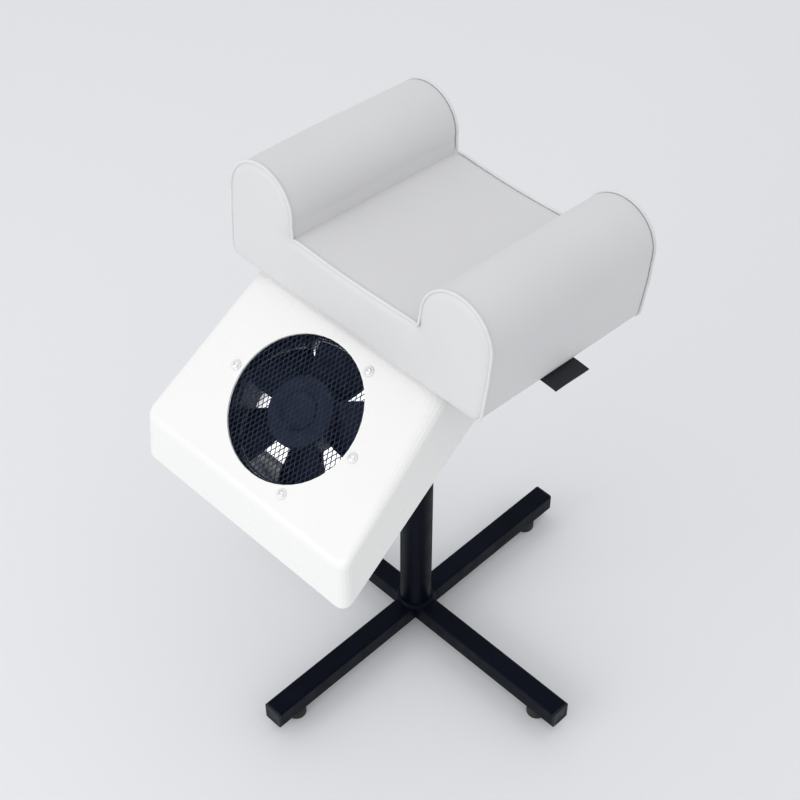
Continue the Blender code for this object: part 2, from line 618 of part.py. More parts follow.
def build_cover(cover, to_cover):
    margin = WALL + 0.6 * MM
    loop = wall_loop(RIM_FRONT, RIM_BACK, (margin, margin, margin, margin), corner=(11 * MM, 15 * MM))
    outline = [tuple((to_cover @ point).xy) for point in loop]
    plate = prism("rear_cover", outline, -2.5 * MM, 0, "white_abs", cover)
    outer = rounded(BOX_HALF.x, BOX_HALF.y, 8 * MM)
    inner = rounded(BOX_HALF.x - WALL, BOX_HALF.y - WALL, 5.5 * MM)
    fuse(plate, prism("box", outer, -BOX_DEPTH, -1 * MM, "white_abs", cover))
    cut(plate, prism("box_room", inner, -BOX_DEPTH + WALL, 2 * MM, "white_abs", cover))
    for row in range(-3, 4):
        slot = rounded(70 * MM, 4 * MM, 3.9 * MM, middle=(0, row * 17 * MM))
        cut(plate, prism("slot", slot, -BOX_DEPTH - 2 * MM, -BOX_DEPTH + 4 * MM, "white_abs", cover))
    cut(plate, block("drawer_way", (-BOX_HALF.x - 5 * MM, -64 * MM, -32 * MM),
                     (-BOX_HALF.x + 6 * MM, 64 * MM, -12 * MM), "white_abs", cover))
    for number, (x, y) in enumerate(POST_PLACES, 1):
        drill(plate, 2.2 * MM, -5 * MM, 3 * MM, cover, at=(x, y, 0))
        screw(f"cover_screw_{number}", cover, (x, y, -2.5 * MM - GAP), (math.pi, 0, 0), length=12 * MM,
              shank=1.5 * MM, head=4 * MM)


def build_filter(cover):
    left, right = -BOX_HALF.x, BOX_HALF.x - WALL - 2 * MM
    frame = block("filter_frame", (left - 0.5 * MM, -63.5 * MM, -31.5 * MM), (right, 63.5 * MM, -12.5 * MM),
                  "white_abs", cover)
    fuse(frame, prism("drawer_front", rounded(11.5 * MM, 66 * MM, 3 * MM), -left + GAP, -left + 3 * MM,
                      "white_abs", cover, at=(0, 0, -22 * MM), turn=(0, -math.pi / 2, 0)))
    fuse(frame, block("drawer_grip", (left - 12 * MM, -20 * MM, -24 * MM), (left - 2 * MM, 20 * MM, -20 * MM),
                      "white_abs", cover))
    half_y = 58 * MM
    low, high = left + 8 * MM, right - 5 * MM
    cut(frame, block("frame_room", (low, -half_y, -40 * MM), (high, half_y, -5 * MM), "white_abs", cover))
    pleats = 14
    thick = 1.4 * MM
    width = (high - low - 2 * GAP) / pleats
    ridge = []
    for i in range(2 * pleats + 1):
        ridge.append((low + GAP + i * width / 2, -16 * MM if i % 2 else -28 * MM))
    outline = ridge + [(x, z - thick) for x, z in reversed(ridge)]
    loops = [[Vector((x, y, z)) for x, z in outline] for y in (-half_y + GAP, half_y - GAP)]
    loft("filter_media", loops, "filter_white", cover)


# ---------------------------------------------------------------- switch, inlet and rails


def build_side_fittings(shell, wall):
    """Rocker switch and mains inlet in the left side wall; local x is up the slope, y deeper, z out."""
    at_switch, at_inlet = (-35 * MM, 24 * MM), (35 * MM, 32 * MM)
    hole = rounded(9.9 * MM, 6.6 * MM, 1 * MM, middle=at_switch)
    cut(shell, prism("switch_hole", hole, -8 * MM, 6 * MM, "white_abs", wall))
    hole = rounded(14 * MM, 10.5 * MM, 3 * MM, middle=at_inlet)
    cut(shell, prism("inlet_hole", hole, -8 * MM, 6 * MM, "white_abs", wall))

    body = prism("switch_body", rounded(9.6 * MM, 6.3 * MM, 0.8 * MM, middle=at_switch), -16 * MM, 1 * MM,
                 "black_cap_plastic", wall)
    fuse(body, prism("bezel", rounded(11.5 * MM, 8 * MM, 1.5 * MM, middle=at_switch), GAP, 2 * MM,
                     "black_cap_plastic", wall))
    cut(body, prism("well", rounded(8.4 * MM, 5 * MM, 0.5 * MM, middle=at_switch), -5 * MM, 4 * MM,
                    "black_cap_plastic", wall))
    length, width = 7.7 * MM, 4.7 * MM
    side = [(-length, -1.6 * MM), (-2.5 * MM, -4.2 * MM), (2.5 * MM, -4.2 * MM), (length, -1.6 * MM),
            (length, 4.2 * MM), (0, 1.6 * MM), (-length, 2 * MM)]
    loops = [[Vector((x, y, z)) for x, z in side] for y in (-width, width)]
    loft("switch_rocker", loops, "black_cap_plastic", wall, at=(*at_switch, 0.3 * MM))

    inlet = prism("mains_inlet", rounded(13.7 * MM, 10.2 * MM, 3 * MM, middle=at_inlet), -18 * MM, 1 * MM,
                  "black_cap_plastic", wall)
    fuse(inlet, prism("bezel", rounded(22 * MM, 12.5 * MM, 4 * MM, middle=at_inlet), GAP, 3 * MM,
                      "black_cap_plastic", wall))
    cut(inlet, prism("well", rounded(12 * MM, 8.4 * MM, 2.4 * MM, middle=at_inlet), -15 * MM, 5 * MM,
                     "black_cap_plastic", wall))
    for x, y in ((-7, -1.5), (0, 2.5), (7, -1.5)):
        fuse(inlet, block("contact", ((x - 1) * MM + at_inlet[0], (y - 2) * MM + at_inlet[1], -16 * MM),
                          ((x + 1) * MM + at_inlet[0], (y + 2) * MM + at_inlet[1], -4 * MM),
                          "black_cap_plastic", wall))


def build_rails(cushion):
    land = -3.5 * MM
    for side, name in ((-1, "left"), (1, "right")):
        x = side * RAIL_X
        rail = block(f"housing_rail_{name}", (x - 9 * MM, -94 * MM, land + GAP),
                     (x + 9 * MM, -66 * MM, -GAP), "black_powder_coat", cushion)
        for number, (_, y) in enumerate([spot for spot in RAIL_SCREWS if spot[0] == x], 1):
            drill(rail, 2.6 * MM, -6 * MM, 2 * MM, cushion, at=(x, y, 0))
            screw(f"rail_screw_{name}_{number}", cushion, (x, y, land - WALL - 2 * GAP), (math.pi, 0, 0),
                  length=13.5 * MM)


def main():
    clear_scene()
    make_materials()
    column = empty("column_axis", at=(0, COLUMN_Y, 0))
    head = empty("tilt_axis", column, (0, 0, PIVOT_HEIGHT), (HEAD_TILT, 0, 0))
    cushion = empty("cushion_underside", head, BOARD_UNDER_PIVOT)
    face = empty("fan_axis", cushion, FACE_CENTRE, (FACE_SLOPE, 0, 0))
    in_face = Matrix.Translation((0, 0, COVER_DEPTH)) @ Matrix.Rotation(COVER_SLOPE, 4, "X")
    cover = empty("cover_plane", face, in_face.to_translation(), in_face.to_euler())

    corner = Vector((-half_width(0, 0), 0, 0))
    along = (Vector((-half_width(100 * MM, 0), 100 * MM, 0)) - corner).normalized()
    outward = (corner - Vector((-half_width(0, -30 * MM), 0, -30 * MM))).cross(along).normalized()
    if outward.x > 0:
        outward.negate()
    axes = Matrix((along, outward.cross(along), outward)).transposed()
    wall = empty("left_wall", face, corner, axes.to_euler())

    build_stand(column)
    build_lift(column)
    build_bracket(head, cushion)
    build_cushion(cushion)
    shell = build_shell(face, cushion, cover)
    build_grille(face)
    build_fan(face)
    build_cover(cover, in_face.inverted())
    build_filter(cover)
    build_side_fittings(shell, wall)
    build_rails(cushion)


main()
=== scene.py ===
"""Looks of the foot-rest dust collector: camera, light, materials, upholstery, mesh, fan and screws."""

import json
import math

import bmesh
import bpy
from mathutils import Matrix, Vector, noise


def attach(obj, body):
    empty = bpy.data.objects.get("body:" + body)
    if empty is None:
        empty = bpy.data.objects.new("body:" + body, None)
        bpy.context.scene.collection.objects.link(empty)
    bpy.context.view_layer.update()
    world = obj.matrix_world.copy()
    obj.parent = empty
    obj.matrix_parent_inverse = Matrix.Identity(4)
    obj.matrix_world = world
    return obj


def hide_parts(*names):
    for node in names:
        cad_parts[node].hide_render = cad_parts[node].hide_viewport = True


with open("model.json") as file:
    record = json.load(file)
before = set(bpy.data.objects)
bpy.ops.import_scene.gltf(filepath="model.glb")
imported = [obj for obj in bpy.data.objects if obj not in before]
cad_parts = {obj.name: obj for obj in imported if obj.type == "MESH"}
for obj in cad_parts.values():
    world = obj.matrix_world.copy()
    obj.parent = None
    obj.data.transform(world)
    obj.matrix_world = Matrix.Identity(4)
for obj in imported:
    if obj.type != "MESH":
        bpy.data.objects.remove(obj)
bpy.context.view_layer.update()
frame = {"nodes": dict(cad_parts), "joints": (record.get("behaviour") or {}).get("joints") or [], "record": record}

MM = 0.001
NODES = frame["nodes"]
JOINTS = {joint["name"]: joint for joint in frame["joints"]}
SLOTS = {part["node"]: part["material_slot"] for part in frame["record"]["subparts"]}


def frame_at(origin, up):
    """Matrix with local z along up, and local x along the row's X as nearly as it can be."""
    z = Vector(up).normalized()
    y = z.cross(Vector((1, 0, 0))).normalized()
    axes = Matrix((y.cross(z), y, z)).transposed().to_4x4()
    return Matrix.Translation(Vector(origin)) @ axes


COLUMN = Vector(JOINTS["swivel"]["pos_m"])
FACE = frame_at(JOINTS["fan_spin"]["pos_m"], JOINTS["fan_spin"]["axis"])
HEAD_TILT = math.radians(-5)
BOARD_UNDER_PIVOT = Vector((12.5, 4.6, 44.9)) * MM
HEAD = Matrix.Translation(Vector(JOINTS["tilt"]["pos_m"])) @ Matrix.Rotation(HEAD_TILT, 4, "X")
CUSHION = HEAD @ Matrix.Translation(BOARD_UNDER_PIVOT)


# ---------------------------------------------------------------- camera, floor and light

CAMERA_FROM_COLUMN = Vector((0.903, -0.9332, 1.732))
CAMERA_AZIMUTH = math.radians(44.90)
CAMERA_ELEVATION = math.radians(46.11)
CAMERA_LENS = 78.03
FLOOR_HALF = 9.0


def add_camera():
    data = bpy.data.cameras.new("camera")
    data.lens = CAMERA_LENS
    data.sensor_width = 36
    camera = bpy.data.objects.new("camera", data)
    flat = math.cos(CAMERA_ELEVATION)
    aim = Vector((-math.sin(CAMERA_AZIMUTH) * flat, math.cos(CAMERA_AZIMUTH) * flat,
                  -math.sin(CAMERA_ELEVATION)))
    camera.location = Vector((COLUMN.x, COLUMN.y, 0)) + CAMERA_FROM_COLUMN
    camera.rotation_euler = aim.to_track_quat("-Z", "Y").to_euler()
    bpy.context.scene.collection.objects.link(camera)
    bpy.context.scene.camera = camera


def add_panel(name, place, target, size, watts, tint=(1, 1, 1)):
    light = bpy.data.lights.new(name, "AREA")
    light.shape = "RECTANGLE"
    light.size, light.size_y = size
    light.energy = watts
    light.color = tint
    lamp = bpy.data.objects.new(name, light)
    lamp.location = place
    lamp.rotation_euler = (Vector(target) - Vector(place)).to_track_quat("-Z", "Y").to_euler()
    bpy.context.scene.collection.objects.link(lamp)


def add_studio():
    world = bpy.data.worlds.new("studio")
    bpy.context.scene.world = world
    world.use_nodes = True
    sky = world.node_tree.nodes["Background"]
    sky.inputs["Color"].default_value = (0.985, 0.99, 1, 1)
    sky.inputs["Strength"].default_value = 0.79
    add_panel("front_panel", (-0.5, -3.2, 1.5), (0, 0, 0.45), (2.6, 2.0), 34)
    add_panel("top_panel", (0.2, 0.1, 3.2), (0, 0, 0), (3.0, 3.0), 11)
    bpy.context.scene.view_settings.view_transform = "Standard"
    bpy.context.scene.view_settings.look = "None"

    mesh = bpy.data.meshes.new("studio_floor")
    corners = [(x * FLOOR_HALF, y * FLOOR_HALF, 0) for x, y in ((-1, -1), (1, -1), (1, 1), (-1, 1))]
    mesh.from_pydata(corners, [], [(0, 1, 2, 3)])
    floor = bpy.data.objects.new("studio_floor", mesh)
    bpy.context.scene.collection.objects.link(floor)
    floor.data.materials.append(plain_paper())


# ---------------------------------------------------------------- materials


class Finish:
    """A Principled material with helpers for the noise that drives its colour, roughness and relief."""

    def __init__(self, name, colour, roughness, metallic=0.0, **inputs):
        self.material = bpy.data.materials.new(name)
        self.material.use_nodes = True
        self.tree = self.material.node_tree
        self.shader = self.tree.nodes["Principled BSDF"]
        self.colour = colour
        self.shader.inputs["Base Color"].default_value = (*colour, 1)
        self.shader.inputs["Roughness"].default_value = roughness
        self.shader.inputs["Metallic"].default_value = metallic
        for key, value in inputs.items():
            self.shader.inputs[key.replace("_", " ")].default_value = value
        self.place = self.tree.nodes.new("ShaderNodeTexCoord").outputs["Object"]
        self.normal = None

    def join(self, start, end):
        self.tree.links.new(start, end)

    def stretched(self, scale):
        mapping = self.tree.nodes.new("ShaderNodeMapping")
        mapping.inputs["Scale"].default_value = scale
        self.join(self.place, mapping.inputs["Vector"])
        return mapping.outputs["Vector"]

    def noise(self, scale, detail=3.0, along=None):
        node = self.tree.nodes.new("ShaderNodeTexNoise")
        node.inputs["Scale"].default_value = scale
        node.inputs["Detail"].default_value = detail
        self.join(along or self.place, node.inputs["Vector"])
        return node.outputs["Fac"]

    def cells(self, scale, feature="DISTANCE_TO_EDGE"):
        node = self.tree.nodes.new("ShaderNodeTexVoronoi")
        node.feature = feature
        node.inputs["Scale"].default_value = scale
        self.join(self.place, node.inputs["Vector"])
        return node.outputs["Distance"]

    def waves(self, scale, along, distortion=0.0):
        node = self.tree.nodes.new("ShaderNodeTexWave")
        node.inputs["Scale"].default_value = scale
        node.inputs["Distortion"].default_value = distortion
        self.join(along, node.inputs["Vector"])
        return node.outputs["Fac"]

    def spread(self, value, low, high, start=0.3, end=0.7):
        node = self.tree.nodes.new("ShaderNodeMapRange")
        for key, number in (("From Min", start), ("From Max", end), ("To Min", low), ("To Max", high)):
            node.inputs[key].default_value = number
        self.join(value, node.inputs["Value"])
        return node.outputs["Result"]

    def mottle(self, value, other, start=0.3, end=0.7):
        """Blend the base colour into another by a value."""
        node = self.tree.nodes.new("ShaderNodeMix")
        node.data_type = "RGBA"
        node.inputs[6].default_value = (*self.colour, 1)
        node.inputs[7].default_value = (*other, 1)
        self.join(self.spread(value, 0, 1, start, end), node.inputs["Factor"])
        self.join(node.outputs[2], self.shader.inputs["Base Color"])

    def rough(self, value, low, high):
        self.join(self.spread(value, low, high), self.shader.inputs["Roughness"])

    def relief(self, value, height, strength=1.0):
        node = self.tree.nodes.new("ShaderNodeBump")
        node.inputs["Strength"].default_value = strength
        node.inputs["Distance"].default_value = height
        self.join(value, node.inputs["Height"])
        if self.normal:
            self.join(self.normal, node.inputs["Normal"])
        self.normal = node.outputs["Normal"]
        self.join(self.normal, self.shader.inputs["Normal"])


def plain_paper():
    finish = Finish("plain_paper", (0.82, 0.83, 0.85), 0.9)
    finish.shader.inputs["Specular IOR Level"].default_value = 0.2
    return finish.material


def leatherette():
    finish = Finish("leatherette", (0.70, 0.70, 0.705), 0.46, Sheen_Weight=0.08, Sheen_Roughness=0.5)
    finish.mottle(finish.noise(6), (0.67, 0.67, 0.678), 0.35, 0.7)
    finish.rough(finish.noise(40), 0.42, 0.52)
    finish.relief(finish.spread(finish.cells(850), 0, 1, 0.0, 0.5), 0.00012, 0.35)
    finish.relief(finish.noise(90, 2), 0.0006, 0.12)
    return finish.material


def welt_leather():
    finish = Finish("welt_leather", (0.76, 0.76, 0.765), 0.42, Sheen_Weight=0.06)
    finish.mottle(finish.noise(30), (0.71, 0.71, 0.715))
    finish.relief(finish.cells(900), 0.0001, 0.3)
    return finish.material


def moulded_white():
    finish = Finish("moulded_white", (0.88, 0.88, 0.865), 0.28, Coat_Weight=0.25, Coat_Roughness=0.16)
    finish.mottle(finish.noise(5), (0.865, 0.865, 0.85), 0.35, 0.7)
    finish.rough(finish.noise(25), 0.26, 0.36)
    finish.relief(finish.noise(260, 2), 0.00012, 0.12)
    return finish.material


# Tint of the reflections on the black pieces
COOL = (0.55, 0.72, 1, 1)


def powder_coat():
    finish = Finish("powder_coat", (0.0015, 0.0018, 0.004), 0.42, Specular_IOR_Level=0.08, Specular_Tint=COOL)
    finish.mottle(finish.noise(12), (0.003, 0.004, 0.009))
    finish.rough(finish.noise(60), 0.34, 0.5)
    finish.relief(finish.noise(700, 3), 0.00015, 0.3)
    return finish.material


def moulded_black(name, colour, lighter, roughness):
    finish = Finish(name, colour, roughness, Specular_IOR_Level=0.16, Specular_Tint=COOL)
    finish.mottle(finish.noise(30), lighter)
    finish.rough(finish.noise(80), roughness - 0.06, roughness + 0.08)
    finish.relief(finish.noise(1100, 2), 0.0001, 0.35)
    return finish.material


def rubber():
    finish = Finish("foot_rubber", (0.012, 0.012, 0.014), 0.75)
    finish.mottle(finish.noise(50), (0.03, 0.03, 0.03), 0.45, 0.8)
    finish.relief(finish.noise(500), 0.0002, 0.4)
    return finish.material


def wire_black():
    finish = Finish("mesh_coating", (0.006, 0.008, 0.017), 0.36, 0.3, Specular_Tint=COOL)
    finish.mottle(finish.noise(120), (0.03, 0.034, 0.05))
    finish.relief(finish.noise(900), 0.0001, 0.3)
    return finish.material


def plated_steel(name, colour, darker, metallic):
    finish = Finish(name, colour, 0.32, metallic)
    brushed = finish.noise(160, 3, finish.stretched((1, 1, 0.05)))
    finish.mottle(brushed, darker)
    finish.rough(brushed, 0.22, 0.42)
    finish.relief(brushed, 0.00005, 0.3)
    return finish.material


def nylon():
    finish = Finish("nylon", (0.25, 0.26, 0.28), 0.5, Subsurface_Weight=0.05)
    finish.mottle(finish.noise(60), (0.21, 0.22, 0.24))
    finish.relief(finish.noise(500), 0.0001, 0.3)
    return finish.material


def filter_paper():
    finish = Finish("filter_fleece_painted_glow", (0.93, 0.93, 0.93), 0.95)
    finish.mottle(finish.noise(300, 5), (0.86, 0.87, 0.87))
    finish.relief(finish.noise(700, 5), 0.0006, 0.6)
    # Painted light: the fleece glows, standing in for the light that reaches it through the slots
    finish.shader.inputs["Emission Color"].default_value = (0.95, 0.96, 1, 1)
    finish.shader.inputs["Emission Strength"].default_value = 0.8
    through = finish.tree.nodes.new("ShaderNodeBsdfTranslucent")
    through.inputs["Color"].default_value = (0.95, 0.95, 0.95, 1)
    mix = finish.tree.nodes.new("ShaderNodeMixShader")
    mix.inputs["Fac"].default_value = 0.6
    finish.join(finish.shader.outputs["BSDF"], mix.inputs[1])
    finish.join(through.outputs["BSDF"], mix.inputs[2])
    finish.join(mix.outputs["Shader"], finish.tree.nodes["Material Output"].inputs["Surface"])
    return finish.material


def woven(name, colour, lighter, pitch):
    """Plain weave: two crossed sets of threads, with painted highlight on top of each thread and painted shade
    between them.
    """
    finish = Finish(name, colour, 0.8, Sheen_Weight=0.15)
    warp = finish.waves(pitch, finish.stretched((1, 0, 0)))
    weft = finish.waves(pitch, finish.stretched((0, 1, 0.5)))
    node = finish.tree.nodes.new("ShaderNodeMath")
    node.operation = "MULTIPLY"
    finish.join(warp, node.inputs[0])
    finish.join(weft, node.inputs[1])
    # Painted highlight and shade: the crown of each thread is lighter and the gaps between threads are darker
    finish.mottle(node.outputs["Value"], lighter, 0.1, 0.9)
    finish.relief(node.outputs["Value"], 0.0003, 0.7)
    return finish.material


def make_finishes():
    """A finish for each material slot of the record, and three for fine pieces."""
    return {
        "black_powder_coat": powder_coat(),
        "black_cap_plastic": moulded_black("cap_plastic", (0.012, 0.013, 0.017), (0.018, 0.019, 0.025), 0.45),
        "black_rubber": rubber(),
        "black_fan_plastic": moulded_black("fan_plastic", (0.004, 0.006, 0.018), (0.007, 0.010, 0.028), 0.4),
        "black_wire": wire_black(),
        "white_abs": moulded_white(),
        "white_leatherette": leatherette(),
        "filter_white": filter_paper(),
        "plywood": woven("dust_cloth", (0.02, 0.02, 0.022), (0.05, 0.05, 0.055), 260),
        "black_woven": woven("label_weave", (0.003, 0.004, 0.009), (0.010, 0.012, 0.024), 330),
        "grey_nylon": nylon(),
        "zinc_steel": plated_steel("plated_steel", (0.62, 0.62, 0.6), (0.5, 0.5, 0.49), 0.95),
        "welt": welt_leather(),
        "hub": moulded_black("hub_plastic", (0.020, 0.026, 0.052), (0.028, 0.035, 0.065), 0.45),
        "screw": plated_steel("bright_plate", (0.93, 0.93, 0.93), (0.85, 0.85, 0.85), 0.6),
    }


def dress_frame(finishes):
    """Give every CAD node the finish of its slot, and smooth shading on its round faces."""
    for name, node in NODES.items():
        node.data.materials.clear()
        node.data.materials.append(finishes[SLOTS[name]])
        for face in node.data.polygons:
            face.material_index = 0
        node.data.shade_smooth()
        node.data.set_sharp_from_angle(angle=math.radians(33))


# ---------------------------------------------------------------- mesh helpers


def make_piece(name, shape, material, matrix, body, replaced=(), sharp=40):
    """Turn a bmesh in a local frame into a piece in the row frame that rides on a body."""
    bmesh.ops.recalc_face_normals(shape, faces=shape.faces)
    mesh = bpy.data.meshes.new(name)
    shape.to_mesh(mesh)
    shape.free()
    mesh.transform(matrix)
    mesh.shade_smooth()
    mesh.set_sharp_from_angle(angle=math.radians(sharp))
    mesh.materials.append(material)
    piece = bpy.data.objects.new(name, mesh)
    bpy.context.scene.collection.objects.link(piece)
    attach(piece, body)
    if replaced:
        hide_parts(*replaced)
    return piece


def skin(shape, loops, cyclic=False, caps=True):
    rows = [[shape.verts.new(point) for point in loop] for loop in loops]
    pairs = list(zip(rows, rows[1:]))
    if cyclic:
        pairs.append((rows[-1], rows[0]))
    for low, high in pairs:
        count = max(len(low), len(high))
        for i in range(count):
            j = (i + 1) % count
            corners = [low[i % len(low)], low[j % len(low)], high[j % len(high)], high[i % len(high)]]
            shape.faces.new(list(dict.fromkeys(corners)))
    if caps and not cyclic:
        for row in (rows[0], rows[-1]):
            if len(row) > 2:
                shape.faces.new(row)
    return rows


def circle(radius, height, segments=48, middle=(0, 0)):
    angles = [2 * math.pi * i / segments for i in range(segments)]
    return [Vector((middle[0] + radius * math.cos(a), middle[1] + radius * math.sin(a), height))
            for a in angles]


def turned(shape, profile, segments=48, middle=(0, 0), cyclic=False):
    loops = [[Vector((*middle, height))] if radius == 0 else circle(radius, height, segments, middle)
             for radius, height in profile]
    return skin(shape, loops, cyclic=cyclic)


def bar(shape, start, end, half_width, low, high):
    """Straight bar with a diamond section, lying in the local xy plane."""
    along = (end - start).normalized()
    side = Vector((-along.y, along.x)) * half_width
    middle = (low + high) / 2
    loops = []
    for point in (start, end):
        loops.append([Vector((point.x + side.x, point.y + side.y, middle)), Vector((point.x, point.y, high)),
                      Vector((point.x - side.x, point.y - side.y, middle)), Vector((point.x, point.y, low))])
    skin(shape, loops)


# ---------------------------------------------------------------- cushion

HALF_DEPTH = 116 * MM
BOLSTER_RADIUS = 44 * MM
BOLSTER_X = 131 * MM
BOLSTER_Z = 84 * MM
CREASE_X = 85 * MM
SEAT_TOP = 68 * MM
HEEL = 14 * MM
HEEL_X = 158.5 * MM
# End panels: how far they bulge, how deep their seam lies, and the rounded edge of the skin beside it
PANEL_BULGE = 4.5 * MM
PANEL_SINK = 1.5 * MM
SEAM_INSET = 0.6 * MM
EDGE_START = 1.6 * MM
EDGE_DROP = 1.3 * MM
ROUND_OVER = 5 * MM
WELT_RADIUS = 1.5 * MM


def sample(points, step):
    """Points spaced evenly along a polyline."""
    spaced = [points[0]]
    for start, end in zip(points, points[1:]):
        count = max(1, round((end - start).length / step))
        spaced += [start.lerp(end, i / count) for i in range(1, count + 1)]
    return spaced


def half_outline():
    """Right half of the cushion's end view, from the middle of the seat to the middle of the bottom."""
    dip = 2.2 * MM
    seat = [Vector((x * CREASE_X / 24, SEAT_TOP - dip * math.exp((x - 24) / 1.6))) for x in range(25)]
    start = math.pi + math.radians(4)
    steps = 56
    arc = [Vector((BOLSTER_X + BOLSTER_RADIUS * math.cos(a), BOLSTER_Z + BOLSTER_RADIUS * math.sin(a)))
           for a in [start * (1 - i / steps) for i in range(steps + 1)]]
    top = sample([seat[-1], arc[0]], 3 * MM)[1:] + arc[1:]
    heel = [Vector((HEEL_X + HEEL * math.cos(a), HEEL - HEEL * math.sin(a)))
            for a in [math.pi / 2 * i / 10 for i in range(11)]]
    side = sample([top[-1], Vector((BOLSTER_X + BOLSTER_RADIUS, 54 * MM)), heel[0]], 4 * MM)[1:-1]
    bottom = sample([heel[-1], Vector((0, 0))], 8 * MM)[1:]
    return seat, seat + top + side + heel, bottom


def outward(outline):
    """Unit normals of a closed clockwise outline in x and z, pointing out."""
    normals = []
    for i in range(len(outline)):
        along = outline[(i + 1) % len(outline)] - outline[i - 1]
        normals.append(Vector((-along.y, along.x)).normalized())
    return normals


def settle(point):
    """Where a point of the plain U profile rests: the seat sags, and the stuffing is a little uneven."""
    x, y, z = point
    across = max(0, 1 - (x / CREASE_X) ** 2)
    over_seat = max(0, min(1, (z - 45 * MM) / (18 * MM))) * across
    sag = (1.2 + 2.2 * (y / HALF_DEPTH) ** 2) * MM * over_seat
    lumps = 0.5 * MM * noise.noise(point * 14)
    up_bolster = max(0, min(1, (z - SEAT_TOP) / (50 * MM)))
    crown = 1.2 * MM * math.cos(min(1, abs(y) / HALF_DEPTH) * math.pi / 2) * up_bolster
    return Vector((x + lumps * 0.6, y, z - sag + crown + lumps * over_seat))


def pucker(point, side):
    """Depth of the small folds that gather the end panel where the seat meets a bolster."""
    from_crease = Vector((abs(point.x) - CREASE_X - 2 * MM, point.z - SEAT_TOP + 4 * MM))
    reach = from_crease.length
    fold = math.cos(5 * math.atan2(from_crease.y, from_crease.x))
    dimple = 2.2 * MM * math.exp(-(reach / (7 * MM)) ** 2)
    return side * (dimple + 0.5 * MM * fold * math.exp(-(reach / (15 * MM)) ** 2))


def make_upholstery(finishes):
    seat, right, bottom = half_outline()
    whole = right + bottom
    mirrored = [Vector((-point.x, point.y)) for point in reversed(whole[1:-1])]
    outline = whole + mirrored
    normals = outward(outline)
    if normals[0].y < 0:
        normals = [-normal for normal in normals]

    def ring_at(y, inset, side=0):
        loop = []
        for point, normal in zip(outline, normals):
            flat = point - normal * inset
            spot = settle(Vector((flat.x, y, flat.y)))
            if side:
                spot.y -= pucker(spot, side)
            if spot.z < 0.0005:
                spot.z = 0
            loop.append(spot)
        return loop

    shape = bmesh.new()
    loops = []
    insets = [0.4, 1.0, 2.2, 4.2, 7, 10]
    deepest = insets[-1]
    for inset in reversed(insets):
        rise = math.sqrt(1 - (1 - inset / deepest) ** 2)
        loops.append(ring_at(-HALF_DEPTH - PANEL_BULGE * rise + PANEL_SINK, inset * MM + SEAM_INSET, -1))
    stations = [i / 5 for i in range(6)]
    for share in stations:
        angle = share * math.pi / 2
        loops.append(ring_at(-HALF_DEPTH + EDGE_START + ROUND_OVER * (1 - math.cos(angle)),
                             EDGE_DROP * (1 - math.sin(angle))))
    spans = 26
    low = -HALF_DEPTH + EDGE_START + ROUND_OVER
    loops += [ring_at(low + (-2 * low) * i / spans, 0) for i in range(1, spans)]
    for share in reversed(stations):
        angle = share * math.pi / 2
        loops.append(ring_at(HALF_DEPTH - EDGE_START - ROUND_OVER * (1 - math.cos(angle)),
                             EDGE_DROP * (1 - math.sin(angle))))
    for inset in insets:
        rise = math.sqrt(1 - (1 - inset / deepest) ** 2)
        loops.append(ring_at(HALF_DEPTH + PANEL_BULGE * rise - PANEL_SINK, inset * MM + SEAM_INSET, 1))
    skin(shape, loops)
    upholstery = make_piece("upholstery", shape, finishes["white_leatherette"], CUSHION, "head",
                            ("cushion_seat", "cushion_bolster_left", "cushion_bolster_right"), sharp=75)

    over = right[:len(right) - 4]
    path = [Vector((-point.x, point.y)) for point in reversed(over[1:])] + over
    for name, side in (("front", -1), ("back", 1)):
        make_welt(name, side, path, finishes)


def make_welt(name, side, path, finishes):
    """Covered cord sewn into the seam round an end panel."""
    y = side * (HALF_DEPTH + 0.2 * MM)
    middle = [settle(Vector((point.x, y, point.y))) for point in path]
    shape = bmesh.new()
    loops = []
    for i, point in enumerate(middle):
        along = (middle[min(i + 1, len(middle) - 1)] - middle[max(i - 1, 0)]).normalized()
        out = along.cross(Vector((0, 1, 0))).normalized()
        loops.append([point + WELT_RADIUS * (out * math.cos(a) + Vector((0, 1, 0)) * math.sin(a))
                      for a in [2 * math.pi * k / 10 for k in range(10)]])
    skin(shape, loops)
    welt = make_piece(f"welt_{name}", shape, finishes["welt"], CUSHION, "head", sharp=80)


def make_underside(finishes):
    """Dust cloth stapled over the board."""
    low, high = -0.24 * MM, -0.02 * MM
    half_x, half_y = 150 * MM, 101 * MM
    shape = bmesh.new()
    skin(shape, [[Vector((x, y, z)) for x, y in
                  ((-half_x, -half_y), (half_x, -half_y), (half_x, half_y), (-half_x, half_y))]
                 for z in (low, high)])
    bmesh.ops.subdivide_edges(shape, edges=shape.edges[:], cuts=6, use_grid_fill=True)
    make_piece("dust_cloth", shape, finishes["plywood"], CUSHION, "head", ("cushion_board",))
    staples = bmesh.new()
    inset = 5 * MM
    for side in (-1, 1):
        for i in range(-6, 7):
            x = i * 21 * MM
            y = side * (half_y - inset)
            bar(staples, Vector((x - 5 * MM, y)), Vector((x + 5 * MM, y)), 0.5 * MM, low - 0.5 * MM, low)
        for i in range(-4, 5):
            y = i * 21 * MM
            x = side * (half_x - inset)
            if side > 0 and abs(y) < 30 * MM:
                continue
            bar(staples, Vector((x, y - 5 * MM)), Vector((x, y + 5 * MM)), 0.5 * MM, low - 0.5 * MM, low)
    make_piece("staples", staples, finishes["zinc_steel"], CUSHION, "head")


